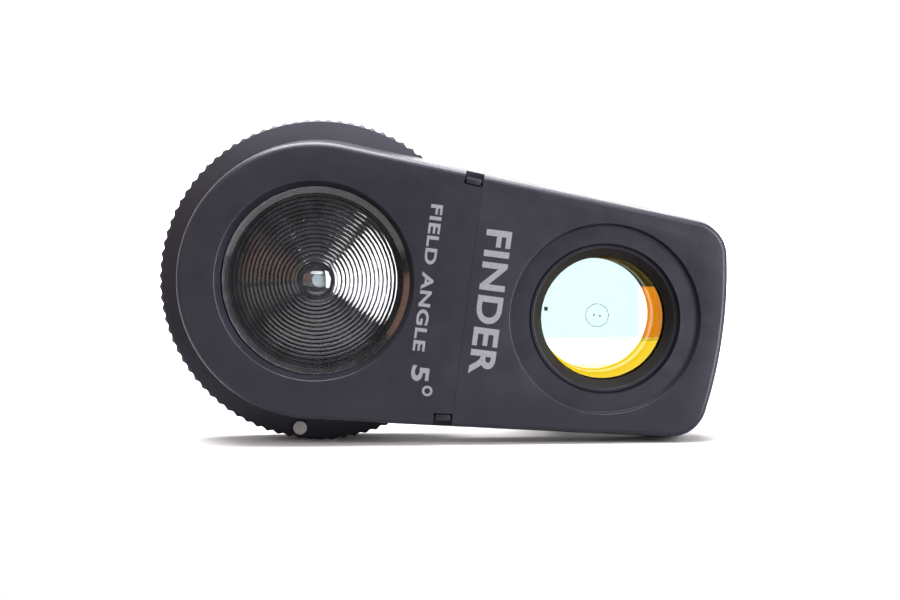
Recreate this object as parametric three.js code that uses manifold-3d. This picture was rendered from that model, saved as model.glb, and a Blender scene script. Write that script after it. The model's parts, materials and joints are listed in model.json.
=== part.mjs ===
// Spot viewfinder attachment for a hand-held exposure meter.
//
// A teardrop body stands on its long edge.  Its round end holds a Fresnel condenser
// lens that feeds the meter's cell; its narrow end holds a see-through finder.  Behind
// the round end a knurled ring turns about the condenser's axis and locks the
// attachment on the meter's head by three bayonet lugs.
//
// Millimetres.  Inside the tilted group X runs from the condenser to the finder,
// Y runs from the front face to the back, and Z is up across the body.
import * as THREE from 'three';
import { mergeVertices } from 'three/addons/utils/BufferGeometryUtils.js';
import Module from 'manifold-3d';

const wasm = await Module();
wasm.setup();

// ---------- driving dimensions ----------
const degrees = THREE.MathUtils.degToRad;
const GAP = 0.3;                 // clearance between neighbouring pieces
const REACH = 3;                 // how far a cutter runs past the face that it opens

// body, measured at the flat front face
const FINDER_X = 47.2;           // finder axis, from the condenser's axis
const RECESS_R = 16.0;           // mouth of the condenser's recess
const DISH_R = 15.3;             // mouth of the dish around the finder window
const END_LAND = 5.4;            // flat face around the recess
const SIDE_LAND = 2.3;           // flat face between the dish and the long sides
const NOSE_LAND = 3.0;           // flat face between the dish and the narrow end
const NOSE_R = 74;               // gentle curve of the narrow end
const CORNER_R = 4.9;            // its two corners
const EDGE_R = 0.9;              // rounding between face and skirt
const DRAFT = degrees(7.4);      // the skirt flares towards the back
const SKIRT = 8.6;               // depth of the front cover
const FACE_T = 1.8;              // thickness of the front face
const WALL = 1.6;                // thickness of the skirt

// rear cover
const PLATE_T = 2.0;             // plate that closes the skirt
const DECK = 2.6;                // raised deck behind the narrow end
const DECK_EDGE = 0.9;           // rounding of the deck's rear edge
const RING_ROOM = 0.7;           // air between the deck and the turning ring

// condenser
const RECESS_SLOPE = 1.1;        // how far the sloping recess wall closes in
const LIP_Y = 2.6;               // depth of the sloping recess wall
const LENS_LAP = 0.4;            // how far the lens reaches behind its lip
const LENS_T = 1.6;
const GROOVE_PITCH = 1.35;       // spacing of the Fresnel grooves, twice the moulded lens's own
const GROOVE_H = 0.35;           // height of a groove's step
const GROOVE_FOOT = 0.06;        // width of a groove's steep side
const LENS_HUB_R = 2.3;          // smooth middle of the lens
const SEAT_WALL = 2.3;           // wall of the lens seat behind the face
const RETAINER_T = 0.9;
const RETAINER_W = 1.1;          // width of the ring behind the lens
const FUNNEL_T = 0.8;
const STOP_R = 7.4;              // field stop and cell window discs
const STOP_HOLE_R = 1.3;
const STOP_T = 0.6;
const WINDOW_T = 1.0;
const WINDOW_LAP = 1.8;          // how far the cell window reaches behind the socket's floor

// meter socket and lock ring
const SOCKET_R = 17.6;           // bore that takes the meter's head
const SOCKET_DEPTH = 2.9;        // depth of the bore in the socket wall
const SOCKET_WALL = 3.0;
const SOCKET_HEIGHT = 7.6;       // socket wall behind the front cover
const CHAMBER_WALL = 4.4;        // wall round the light chamber, in front of the socket
const CHAMBER_LAP = 0.9;         // chamber wider than the lens
const FLOOR_T = 1.0;             // socket floor
const RING_FRONT = 0.4;          // air between the front cover and the lock ring
const RING_LENGTH = 10.0;
const RING_LAND = 1.9;           // ring outside the bayonet ring
const RING_CHAMFER = 0.5;
const KNURL_DEPTH = 0.4;
const KNURL_TEETH = 90;
const RING_PLAY = 0.4;           // radial play between ring and socket wall
const RETAINING_T = 0.8;         // flange that keeps the ring on the socket wall
const RETAINING_LAP = 1.6;       // how far the flange stands out over the socket wall
const BAYONET_T = 1.3;
const BAYONET_W = 5.6;           // width of the bayonet ring between its lugs
const BAYONET_LAP = 1.2;         // how far it covers the end of the socket wall
const LUG_RISE = 1.5;            // how far the lugs stand in
const LUG_COUNT = 3;
const LUG_SPAN = degrees(36);
const TWIST = degrees(50);       // travel of the lock ring
const DOT_R = 1.15;
const DOT_T = 0.55;
const DOT_EDGE = 1.95;           // index dot, in from the knurl tips
const DOT_PROUD = 0.05;
const PIN_R = 0.8;               // stop pin
const PIN_DEPTH = 0.9;           // how far it reaches into the socket wall
const PIN_EDGE = 2.9;            // its outer end, in from the knurl tips
const PIN_ANGLE = degrees(115);
const BALL_R = 0.8;              // detent ball
const BALL_ANGLE = degrees(-60);
const POCKET_WALL = 0.7;         // wall behind the detent's pocket
const SPRING_R = 0.6;            // detent coil, to the middle of its wire
const SPRING_WIRE = 0.15;
const SPRING_TURNS = 2;

// finder
const DISH_DEPTH = 2.2;
const DISH_FLOOR = 3.3;          // width of the dish, from its mouth to its floor's hole
const FINDER_WALL = 1.3;         // material behind the dish, to the side and to the back
const BEZEL_RISE = 0.3;          // bezel lip above the dish floor
const BEZEL_LIP = 0.7;           // width of its front edge
const BEZEL_SLOPE = 0.9;         // how far it closes in to its clear opening
const BEZEL_FLANGE = 1.2;        // flange behind the dish
const FLANGE_HOLD = 0.2;         // the flange also stands out over the barrel's bore
const WINDOW_LAND = 0.8;         // how far the half-mirror window reaches behind the bezel
const MIRROR_T = 1.6;
const MIRROR_SAG = 0.5;
const BARREL_BORE = 12.2;        // bore of the eyepiece barrel on the rear cover
const BARREL_WALL = 1.8;
const BARREL_LENGTH = 9.4;       // barrel behind the front cover
const TUBE_WALL = 1.7;
const TUBE_LENGTH = 6.8;
const TUBE_INSET = 0.2;          // the tube starts this far inside the barrel
const RETICLE_T = 0.8;
const SPACER_T = 0.5;
const EYE_WALL = 2.1;            // wall of the eyepiece housing inside the barrel
const EYE_SEAT = 0.9;            // step that the eyepiece lens sits on
const EYE_SHELL = 2.7;           // wall of the housing around the lens
const EYE_SEAT_Y = 1.6;          // the step, behind the barrel
const EYE_LENGTH = 5.4;          // housing behind the barrel
const EYE_LENS_T = 2.2;
const EYE_LENS_SAG = 0.4;
const EYE_RING_W = 0.7;
const EYE_RING_T = 1.0;
const CUP_WALL = 1.7;            // soft eyecup
const CUP_LIP = 4.0;             // width of its rear lip
const CUP_LIP_T = 1.3;
const CUP_LENGTH = 6.1;
const CUP_ROUND = 0.6;

// snap hooks, screws, divider
const HOOK_X = 23.35;            // snap hooks and their notches, from the condenser's axis
const NOTCH_W = 3.0;
const NOTCH_IN = 1.5;            // how far a notch cuts in from the face's edge
const NOTCH_Y = 3.0;             // depth of a notch
const HOOK_TOP = 0.9;            // front of a hook, behind the face
const HOOK_PROUD = 0.2;          // how far a hook stands out past the face's edge
const ARM_T = 1.6;
const PILLAR_R = 2.2;
const SCREW_R = 0.8;
const SCREW_HEAD_R = 1.6;
const SCREW_HEAD_T = 0.9;
const SCREW_LENGTH = 6.0;
const SCREW_SUNK = 0.35;         // screw heads below the deck
const NEAR_LAND = 3.2;           // deck between the ring's room and the near screws' heads
const NEAR_Z = 12.5;
const FAR_LAND = 0.85;           // deck between the barrel and the far screws' heads
const FAR_ANGLE = degrees(34.5);
const SMALL_SCREW_R = 0.55;
const SMALL_HEAD_R = 1.05;
const SMALL_HEAD_T = 0.6;
const SMALL_LENGTH = 3.2;
const SMALL_SUNK = 0.05;
const DIVIDER_T = 1.0;
const DIVIDER_LAND = 4.5;        // free space at each end of the divider

const FINE = 36;                 // facets round a large circle
const MEDIUM = 28;
const COARSE = 18;               // facets round a small or hidden circle
const SMALL = 12;

// ---------- derived places ----------
const endR = RECESS_R + END_LAND;                    // the body's round end
const taper = Math.asin((endR - DISH_R - SIDE_LAND) / FINDER_X);
const noseX = FINDER_X + DISH_R + NOSE_LAND;
const lipR = RECESS_R - RECESS_SLOPE;
const lensR = lipR + LENS_LAP;
const recessEnd = LIP_Y + GAP;                       // front edge of the lens seat
const lensY = recessEnd + GAP;
const retainerY = lensY + LENS_T + GAP;
const retainerIn = lensR - RETAINER_W;
const funnelY = retainerY + RETAINER_T + GAP;
const plateY = SKIRT - PLATE_T;                      // front side of the rear cover's plate
const seatEnd = plateY - GAP;
const deckY = SKIRT + GAP;
const deckEnd = deckY + DECK;
const socketEnd = SKIRT + SOCKET_HEIGHT;
const floorEnd = socketEnd - SOCKET_DEPTH;
const floorY = floorEnd - FLOOR_T;
const windowHoleR = STOP_R - WINDOW_LAP;             // clear opening in the socket's floor
const cellWindowY = floorY - GAP - WINDOW_T;
const stopY = cellWindowY - GAP - STOP_T;
const funnelEnd = stopY - GAP;
const chamberR = lensR + CHAMBER_LAP;
const bossR = Math.max(SOCKET_R + SOCKET_WALL, chamberR + CHAMBER_WALL);
const ringBore = bossR + RING_PLAY;
const retainingY = socketEnd + GAP;
const retainingR = bossR + RETAINING_LAP;
const lugIn = SOCKET_R + GAP;                        // tips of the bayonet lugs
const bayonetIn = Math.max(lugIn + LUG_RISE, bossR - BAYONET_LAP);
const bayonetR = bayonetIn + BAYONET_W;
const ringR = bayonetR + RING_LAND;                  // knurl tips
const ringStart = SKIRT + RING_FRONT;
const ringEnd = ringStart + RING_LENGTH;
const bayonetY = ringEnd - BAYONET_T;
const bayonetScrewR = (retainingR + GAP + bayonetR) / 2;
const retainingScrewR = (SOCKET_R + bossR) / 2;
const dotPlace = ringR - DOT_EDGE;
const pinY = (deckY + floorEnd) / 2 + 0.5;           // stop pin and detent, behind the face
const pinIn = bossR - PIN_DEPTH;
const pinOut = ringR - PIN_EDGE;
const ballPlace = bossR - BALL_R;
const dishFloorR = DISH_R - DISH_FLOOR;
const dishBack = DISH_DEPTH + FINDER_WALL;           // rear side of the finder's front wall
const bezelR = dishFloorR - GAP;
const bezelY = dishBack + GAP;
const bezelIn = bezelR - BEZEL_LIP - BEZEL_SLOPE;
const windowR = bezelIn + WINDOW_LAND;
const mirrorY = bezelY + GAP;
const bezelEnd = plateY - GAP;
const flangeR = Math.max(dishFloorR, BARREL_BORE - FLANGE_HOLD) + BEZEL_FLANGE;
const barrelR = BARREL_BORE + BARREL_WALL;
const barrelEnd = SKIRT + BARREL_LENGTH;
const sleeveR = BARREL_BORE - GAP;                   // what slides into the barrel
const tubeIn = sleeveR - TUBE_WALL;
const tubeY = plateY + TUBE_INSET;
const reticleY = tubeY + TUBE_LENGTH + GAP;
const spacerY = reticleY + RETICLE_T + GAP;
const eyeY = spacerY + SPACER_T + GAP;
const eyeIn = sleeveR - EYE_WALL;
const eyeSeatR = eyeIn + EYE_SEAT;
const eyeR = eyeSeatR + EYE_SHELL;
const eyeSeatY = barrelEnd + EYE_SEAT_Y;
const eyeEnd = barrelEnd + EYE_LENGTH;
const eyeLensR = eyeSeatR - GAP;
const eyeLensY = eyeSeatY + GAP;
const eyeRingY = eyeLensY + EYE_LENS_T + GAP;
const eyeRingIn = eyeLensR - EYE_RING_W;
const cupBore = eyeR + GAP;
const cupR = cupBore + CUP_WALL;
const cupIn = cupR - CUP_LIP;
const cupEnd = eyeEnd + GAP + CUP_LIP_T;
const cupStart = cupEnd - CUP_LENGTH;
const hookEdge = HOOK_X + NOTCH_W / 2 - GAP;
const nearReach = ringR + RING_ROOM + SCREW_HEAD_R + GAP + NEAR_LAND;
const nearX = Math.sqrt(nearReach * nearReach - NEAR_Z * NEAR_Z);
const farReach = barrelR + SCREW_HEAD_R + GAP + FAR_LAND;
const farX = FINDER_X + farReach * Math.cos(FAR_ANGLE);
const farZ = farReach * Math.sin(FAR_ANGLE);
const screwPlaces = [[nearX, NEAR_Z], [nearX, -NEAR_Z], [farX, farZ], [farX, -farZ]];
const dividerX = (hookEdge + nearX - PILLAR_R) / 2;
const dividerZ = longSide(dividerX) - DIVIDER_LAND;

// Half width of the front face at a distance from the condenser's axis.
function longSide(x) {
  return (endR - x * Math.sin(taper)) / Math.cos(taper);
}

// ---------- solids ----------
function toSolid(geometry) {
  const bare = geometry.clone();
  bare.deleteAttribute('normal');
  bare.deleteAttribute('uv');
  const merged = mergeVertices(bare, 1e-4);
  return new wasm.Manifold(new wasm.Mesh({
    numProp: 3,
    vertProperties: new Float32Array(merged.attributes.position.array),
    triVerts: new Uint32Array(merged.index.array),
  }));
}

function toGeometry(solid) {
  const mesh = solid.getMesh();
  const geometry = new THREE.BufferGeometry();
  geometry.setAttribute('position', new THREE.BufferAttribute(new Float32Array(mesh.vertProperties), 3));
  geometry.setIndex(new THREE.BufferAttribute(new Uint32Array(mesh.triVerts), 1));
  const shaded = geometry.toNonIndexed();
  shaded.computeVertexNormals();
  return shaded;
}

function join(...geometries) {
  return toGeometry(geometries.map(toSolid).reduce((sum, next) => sum.add(next)));
}

function cut(geometry, ...cutters) {
  return toGeometry(cutters.map(toSolid).reduce((left, next) => left.subtract(next), toSolid(geometry)));
}

function common(geometry, limit) {
  return toGeometry(toSolid(geometry).intersect(toSolid(limit)));
}

// A turned shape about the Y axis.  Each point is [radius, y].
function turned(points, facets = FINE) {
  const loop = points.map(([r, y]) => new THREE.Vector2(r, y));
  const area = loop.reduce((sum, p, i) => sum + p.cross(loop[(i + 1) % loop.length]), 0);
  if (area < 0) loop.reverse();
  const onAxis = loop.findIndex((p, i) => p.x === 0 && loop[(i + loop.length - 1) % loop.length].x === 0);
  if (onAxis >= 0) {
    return new THREE.LatheGeometry([...loop.slice(onAxis), ...loop.slice(0, onAxis)], facets);
  }
  return new THREE.LatheGeometry([...loop, loop[0].clone()], facets);
}

function disc(r, y0, y1, facets = FINE) {
  return turned([[0, y0], [r, y0], [r, y1], [0, y1]], facets);
}

function ring(inner, outer, y0, y1, facets = FINE) {
  return turned([[inner, y0], [outer, y0], [outer, y1], [inner, y1]], facets);
}

function moved(geometry, x, y, z) {
  return geometry.clone().translate(x, y, z);
}

// A flat shape in the X-Z plane, pushed from y0 to y1.
function pushed(shape, y0, y1, curveSegments = FINE) {
  const geometry = new THREE.ExtrudeGeometry(shape, { depth: y1 - y0, bevelEnabled: false, curveSegments });
  return geometry.rotateX(Math.PI / 2).translate(0, y1, 0);
}

function block(x0, x1, y0, y1, z0, z1) {
  const geometry = new THREE.BoxGeometry(x1 - x0, y1 - y0, z1 - z0);
  return geometry.translate((x0 + x1) / 2, (y0 + y1) / 2, (z0 + z1) / 2);
}

// A cylinder that stands radially on the condenser's axis.
function radialPin(r, inner, outer, y, angle, facets = COARSE) {
  const geometry = disc(r, inner, outer, facets).rotateZ(-Math.PI / 2);
  return geometry.rotateY(-angle).translate(0, y, 0);
}

// ---------- body outline ----------
const noseMiddle = noseX - NOSE_R;
const cornerAt = cornerCentre();

// The corner arc touches the long side and the nose arc.
function cornerCentre() {
  const slope = Math.tan(taper);
  const rise = (endR - CORNER_R) / Math.cos(taper);
  const reach = NOSE_R - CORNER_R;
  const a = 1 + slope * slope;
  const b = -2 * noseMiddle - 2 * rise * slope;
  const c = noseMiddle * noseMiddle + rise * rise - reach * reach;
  const x = (-b + Math.sqrt(b * b - 4 * a * c)) / (2 * a);
  return new THREE.Vector2(x, rise - x * slope);
}

function arcPoints(cx, cz, r, from, to, steps) {
  const points = [];
  for (let i = 0; i < steps; i += 1) {
    const angle = from + (to - from) * i / steps;
    points.push([cx + r * Math.cos(angle), cz + r * Math.sin(angle)]);
  }
  return points;
}

function flat(points) {
  return points.map(([x, z]) => new THREE.Vector2(x, z));
}

// The outline moved outwards by an offset, anticlockwise as seen from the front.
function outline(offset) {
  const nose = Math.atan2(cornerAt.y, cornerAt.x - noseMiddle);
  const side = Math.PI / 2 - taper;
  const corner = CORNER_R + offset;
  return [
    ...arcPoints(noseMiddle, 0, NOSE_R + offset, -nose, nose, 6),
    ...arcPoints(cornerAt.x, cornerAt.y, corner, nose, side, 8),
    [cornerAt.x + corner * Math.cos(side), cornerAt.y + corner * Math.sin(side)],
    ...arcPoints(0, 0, endR + offset, side, 2 * Math.PI - side, 36),
    [(endR + offset) * Math.cos(side), -(endR + offset) * Math.sin(side)],
    ...arcPoints(cornerAt.x, -cornerAt.y, corner, -side, -nose, 8),
  ];
}

// A closed shell through outlines at rising y.  Each section is [offset, y].
function lofted(sections) {
  const rings = sections.map(([offset, y]) => outline(offset).map(([x, z]) => [x, y, z]));
  const count = rings[0].length;
  const middle = (noseX - endR) / 2;
  const corners = [...rings.flat(), [middle, sections[0][1], 0], [middle, sections.at(-1)[1], 0]];
  const front = corners.length - 2;
  const back = corners.length - 1;
  const faces = [];
  for (let i = 0; i < count; i += 1) {
    const j = (i + 1) % count;
    for (let k = 0; k + 1 < rings.length; k += 1) {
      const a = k * count + i;
      const b = k * count + j;
      faces.push(a, a + count, b + count, a, b + count, b);
    }
    const last = (rings.length - 1) * count;
    faces.push(front, i, j, back, last + j, last + i);
  }
  const geometry = new THREE.BufferGeometry();
  geometry.setAttribute('position', new THREE.Float32BufferAttribute(corners.flat(), 3));
  geometry.setIndex(faces);
  return geometry;
}

// Outward offset of the drafted skirt at a depth behind the rounded edge.
function skirtOffset(y) {
  const turn = Math.PI / 2 - DRAFT;
  return EDGE_R * Math.sin(turn) + (y - EDGE_R * (1 - Math.cos(turn))) * Math.tan(DRAFT);
}

function roundedEdge(steps) {
  const turn = Math.PI / 2 - DRAFT;
  return Array.from({ length: steps + 1 }, (_, i) => {
    const angle = turn * i / steps;
    return [EDGE_R * Math.sin(angle), EDGE_R * (1 - Math.cos(angle))];
  });
}

// A block on the long side at HOOK_X: depth is measured inwards from the face's edge.
function edgeBlock(side, width, depth, rise, y0, y1) {
  const geometry = block(-width / 2, width / 2, y0, y1, -depth, rise);
  geometry.rotateY(taper).translate(HOOK_X, 0, longSide(HOOK_X));
  return side > 0 ? geometry : geometry.rotateX(Math.PI).translate(0, y0 + y1, 0);
}

const flare = skirtOffset(SKIRT);

// ---------- front cover ----------
function frontCover() {
  const shell = lofted([...roundedEdge(4), [flare, SKIRT]]);
  const cavity = lofted([
    [skirtOffset(FACE_T) - WALL, FACE_T],
    [skirtOffset(SKIRT + REACH) - WALL, SKIRT + REACH],
  ]);
  const lensSeat = disc(lensR + GAP + SEAT_WALL, FACE_T / 2, seatEnd);
  const finderWall = moved(disc(DISH_R + FINDER_WALL, FACE_T / 2, dishBack), FINDER_X, 0, 0);
  const pillars = atScrews(disc(PILLAR_R, FACE_T / 2, seatEnd, SMALL));
  const solid = common(join(cut(shell, cavity), lensSeat, finderWall, ...pillars), shell);
  const recess = turned([
    [0, -REACH], [RECESS_R, -REACH], [RECESS_R, 0], [lipR, LIP_Y], [lipR, recessEnd],
    [lensR + GAP, recessEnd], [lensR + GAP, SKIRT], [0, SKIRT],
  ]);
  const dish = moved(turned([
    [0, -REACH], [DISH_R, -REACH], [DISH_R, 0],
    ...dishCurve(4),
    [dishFloorR, SKIRT], [0, SKIRT],
  ]), FINDER_X, 0, 0);
  const screwTip = deckEnd - SCREW_SUNK - SCREW_LENGTH;
  const screwHoles = atScrews(disc(SCREW_R + GAP, screwTip - GAP, SKIRT, SMALL));
  const notches = [1, -1].map((side) => edgeBlock(side, NOTCH_W, NOTCH_IN, REACH + 1, -REACH, NOTCH_Y));
  return cut(solid, recess, dish, ...screwHoles, ...notches);
}

function atScrews(geometry) {
  return screwPlaces.map(([x, z]) => moved(geometry, x, 0, z));
}

// The dish falls steeply at its rim and runs out flat at its floor.
function dishCurve(steps) {
  return Array.from({ length: steps }, (_, i) => {
    const angle = (Math.PI / 2) * (i + 1) / steps;
    const r = dishFloorR + (DISH_R - dishFloorR) * Math.cos(angle);
    return [r, DISH_DEPTH * Math.sin(angle)];
  });
}

// ---------- rear cover ----------
function rearCover() {
  const inside = (y) => skirtOffset(y) - WALL - GAP;
  const plate = lofted([[inside(plateY), plateY], [inside(SKIRT), SKIRT], [inside(SKIRT), deckY + GAP]]);
  const deck = lofted([
    [flare, deckY], [flare, deckEnd - DECK_EDGE],
    [flare - DECK_EDGE * 0.3, deckEnd - DECK_EDGE * 0.3], [flare - DECK_EDGE, deckEnd],
  ]);
  const ringRoom = disc(ringR + RING_ROOM, SKIRT, deckEnd + REACH);
  const chamber = disc(chamberR, plateY - REACH, deckEnd + REACH);
  const barrelBore = moved(disc(BARREL_BORE, plateY - REACH, deckEnd + REACH), FINDER_X, 0, 0);
  const base = cut(join(plate, deck), ringRoom, chamber, barrelBore);
  const rootR = Math.min(bossR, endR + inside(plateY));
  const socket = turned([
    [chamberR, plateY], [rootR, plateY], [rootR, deckY], [bossR, deckY],
    [bossR, socketEnd], [SOCKET_R, socketEnd],
    [SOCKET_R, floorEnd], [windowHoleR, floorEnd], [windowHoleR, floorY], [chamberR, floorY],
  ]);
  const barrel = moved(ring(BARREL_BORE, barrelR, plateY, barrelEnd), FINDER_X, 0, 0);
  const whole = join(base, socket, barrel, snapHook(1), snapHook(-1));
  const headFloor = deckEnd - SCREW_SUNK - SCREW_HEAD_T - GAP;
  const screwHoles = atScrews(disc(SCREW_R + GAP, plateY - REACH, deckEnd + REACH, SMALL));
  const headHoles = atScrews(disc(SCREW_HEAD_R + GAP, headFloor, deckEnd + REACH, SMALL));
  const smallTip = retainingY + RETAINING_T - SMALL_LENGTH - GAP;
  const smallHole = disc(SMALL_SCREW_R + GAP, smallTip, ringEnd, SMALL);
  const smallHoles = threeAround(retainingScrewR, 0, smallHole);
  const pocket = radialPin(BALL_R + GAP, chamberR + POCKET_WALL, bossR + REACH, pinY, BALL_ANGLE);
  return cut(whole, ...screwHoles, ...headHoles, ...smallHoles, pocket, stopSlot());
}

// A hook on a springing arm that clips into a notch of the front cover.
function snapHook(side) {
  const width = NOTCH_W - 2 * GAP;
  const back = NOTCH_IN - GAP;
  const hookEnd = NOTCH_Y - GAP;
  const arm = edgeBlock(side, width, back + ARM_T, -back, FACE_T + GAP, plateY + PLATE_T / 2);
  const hook = edgeBlock(side, width, back, HOOK_PROUD, HOOK_TOP, hookEnd);
  const root = edgeBlock(side, width, back + ARM_T / 3, GAP - back, FACE_T + GAP, hookEnd);
  return join(arm, hook, root);
}

// Groove in the socket wall that the stop pin runs in.
function stopSlot() {
  const end = Math.asin((PIN_R + GAP) / pinIn);
  const first = PIN_ANGLE - TWIST - end;
  const last = PIN_ANGLE + end;
  const sector = [...arcTo(ringBore, first, last, 10), ...arcTo(pinIn - GAP, last, first, 10)];
  return pushed(new THREE.Shape(flat(sector)), pinY - PIN_R - GAP, pinY + PIN_R + GAP);
}

function threeAround(r, start, geometry) {
  return Array.from({ length: LUG_COUNT }, (_, i) => {
    const angle = start + 2 * Math.PI * i / LUG_COUNT;
    return moved(geometry, r * Math.cos(angle), 0, r * Math.sin(angle));
  });
}

// ---------- condenser pieces ----------
// Saw-tooth grooves in front, flat behind.
function condenserLens() {
  const front = [[0, lensY], [LENS_HUB_R, lensY + GROOVE_H * 0.4]];
  for (let r = LENS_HUB_R; r + GROOVE_PITCH < lipR; r += GROOVE_PITCH) {
    front.push([r + GROOVE_FOOT, lensY]);
    front.push([r + GROOVE_PITCH, lensY + GROOVE_H]);
  }
  return turned([...front, [lensR, lensY], [lensR, lensY + LENS_T], [0, lensY + LENS_T]], FINE);
}

function lightFunnel() {
  return turned([
    [retainerIn, funnelY], [retainerIn + FUNNEL_T, funnelY],
    [STOP_R + FUNNEL_T, funnelEnd], [STOP_R, funnelEnd],
  ], COARSE);
}

// ---------- lock ring ----------
function lockRing() {
  const knurl = new THREE.Shape(Array.from({ length: 2 * KNURL_TEETH }, (_, i) => {
    const r = i % 2 === 0 ? ringR : ringR - KNURL_DEPTH;
    const angle = -Math.PI / 2 + Math.PI * i / KNURL_TEETH;
    return new THREE.Vector2(r * Math.cos(angle), r * Math.sin(angle));
  }));
  const limitR = ringR + 0.1;
  const turnedLimit = turned([
    [0, ringStart], [limitR - RING_CHAMFER, ringStart], [limitR, ringStart + RING_CHAMFER],
    [limitR, ringEnd - RING_CHAMFER], [limitR - RING_CHAMFER, ringEnd], [0, ringEnd],
  ], 2 * KNURL_TEETH);
  const grip = common(pushed(knurl, ringStart, ringEnd), turnedLimit);
  const bore = disc(ringBore, 0, ringEnd + REACH);
  const flangeRoom = disc(retainingR + GAP, socketEnd, ringEnd + REACH);
  const bayonetRoom = disc(bayonetR + GAP, bayonetY - GAP, ringEnd + REACH);
  const dotHole = moved(disc(DOT_R + GAP, 0, ringStart + DOT_T + GAP, COARSE), 0, 0, -dotPlace);
  const pinHole = radialPin(PIN_R + GAP, pinIn, pinOut + GAP, pinY, PIN_ANGLE);
  const screwHole = disc(SMALL_SCREW_R + GAP, ringEnd - SMALL_LENGTH - GAP, ringEnd + REACH, SMALL);
  const screwHoles = threeAround(bayonetScrewR, Math.PI / 3, screwHole);
  return cut(grip, bore, flangeRoom, bayonetRoom, dotHole, pinHole, ...screwHoles);
}

// Metal ring with inward lugs, let into the back of the lock ring.
function bayonetRing() {
  const shape = new THREE.Shape(flat(arcPoints(0, 0, bayonetR, 0, 2 * Math.PI, FINE)));
  const third = 2 * Math.PI / LUG_COUNT;
  const inside = Array.from({ length: LUG_COUNT }, (_, i) => {
    const start = third * i;
    const lugEnd = start + LUG_SPAN;
    return [...arcTo(lugIn, start, lugEnd, 5), ...arcTo(bayonetIn, lugEnd, start + third, 9)];
  }).flat();
  shape.holes.push(new THREE.Path(flat(inside)));
  const plate = pushed(shape, bayonetY, ringEnd);
  const headFloor = ringEnd - SMALL_SUNK - SMALL_HEAD_T - GAP;
  const headHole = disc(SMALL_HEAD_R + GAP, headFloor, ringEnd + REACH, COARSE);
  const shankHole = disc(SMALL_SCREW_R + GAP, 0, ringEnd + REACH, SMALL);
  const holes = [headHole, shankHole].flatMap((hole) => threeAround(bayonetScrewR, Math.PI / 3, hole));
  return cut(plate, ...holes);
}

// An arc about the ring's axis with both of its end points.
function arcTo(r, from, to, steps) {
  return [...arcPoints(0, 0, r, from, to, steps), [r * Math.cos(to), r * Math.sin(to)]];
}

function ringRetainer() {
  const flange = ring(SOCKET_R + GAP, retainingR, retainingY, retainingY + RETAINING_T);
  return cut(flange, ...threeAround(retainingScrewR, 0, disc(SMALL_HEAD_R + GAP, 0, ringEnd, COARSE)));
}

// ---------- screws, detent ----------
// A screw along Y: its head is at the back, with a cross recess.
function screw(shank, head, headT, length, back, facets) {
  const tip = shank * 0.6;
  const body = turned([
    [0, back - length], [tip, back - length], [shank, back - length + tip],
    [shank, back - headT], [head, back - headT], [head, back - headT * 0.3], [head * 0.8, back], [0, back],
  ], facets);
  const slot = head * 0.22;
  const arm = head * 0.62;
  const deep = back - headT * 0.55;
  return cut(body, join(
    block(-slot, slot, deep, back + REACH, -arm, arm),
    block(-arm, arm, deep, back + REACH, -slot, slot),
  ));
}

function detentSpring() {
  const start = chamberR + POCKET_WALL + GAP + SPRING_WIRE;
  const length = ballPlace - BALL_R - GAP - SPRING_WIRE - start;
  const steps = SPRING_TURNS * 10;
  const points = Array.from({ length: steps + 1 }, (_, i) => {
    const angle = 2 * Math.PI * SPRING_TURNS * i / steps;
    const along = start + length * i / steps;
    return new THREE.Vector3(along, SPRING_R * Math.cos(angle), SPRING_R * Math.sin(angle));
  });
  const wire = new THREE.Shape();
  wire.absarc(0, 0, SPRING_WIRE, 0, 2 * Math.PI, false);
  const extrudePath = new THREE.CatmullRomCurve3(points);
  const coil = new THREE.ExtrudeGeometry(wire, { steps, extrudePath, curveSegments: 3, bevelEnabled: false });
  return coil.rotateY(-BALL_ANGLE).translate(0, pinY, 0);
}

// ---------- finder pieces ----------
function finderBezel() {
  const front = DISH_DEPTH - BEZEL_RISE;
  return turned([
    [bezelR - BEZEL_LIP, front], [bezelR, front], [bezelR, bezelY], [flangeR, bezelY], [flangeR, bezelEnd],
    [windowR + GAP, bezelEnd], [windowR + GAP, bezelY], [bezelIn, bezelY], [bezelIn, dishBack],
  ]);
}

// A turned lens: each face bulges along Y by its own sag, from rim to middle.
function lens(r, y, thickness, frontSag, backSag) {
  const shares = [0, 0.4, 0.75, 1];
  const face = (rim, sag) => shares.map((share) => [r * share, rim + sag * (1 - share * share)]);
  return turned([...face(y, frontSag), ...face(y + thickness, backSag).reverse()], MEDIUM);
}

function eyepieceHousing() {
  return turned([
    [eyeIn, eyeY], [sleeveR, eyeY], [sleeveR, barrelEnd + GAP], [eyeR, barrelEnd + GAP],
    [eyeR, eyeEnd], [eyeSeatR, eyeEnd], [eyeSeatR, eyeSeatY], [eyeIn, eyeSeatY],
  ], MEDIUM);
}

function eyecup() {
  return turned([
    [cupBore, cupStart], [cupR, cupStart], [cupR, cupEnd - CUP_ROUND], [cupR - CUP_ROUND, cupEnd],
    [cupIn + CUP_ROUND, cupEnd], [cupIn, cupEnd - CUP_ROUND], [cupIn, eyeEnd + GAP], [cupBore, eyeEnd + GAP],
  ], MEDIUM);
}

// ---------- assembly ----------
function finish(color, roughness, metalness = 0) {
  return { color, roughness, metalness };
}

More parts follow.
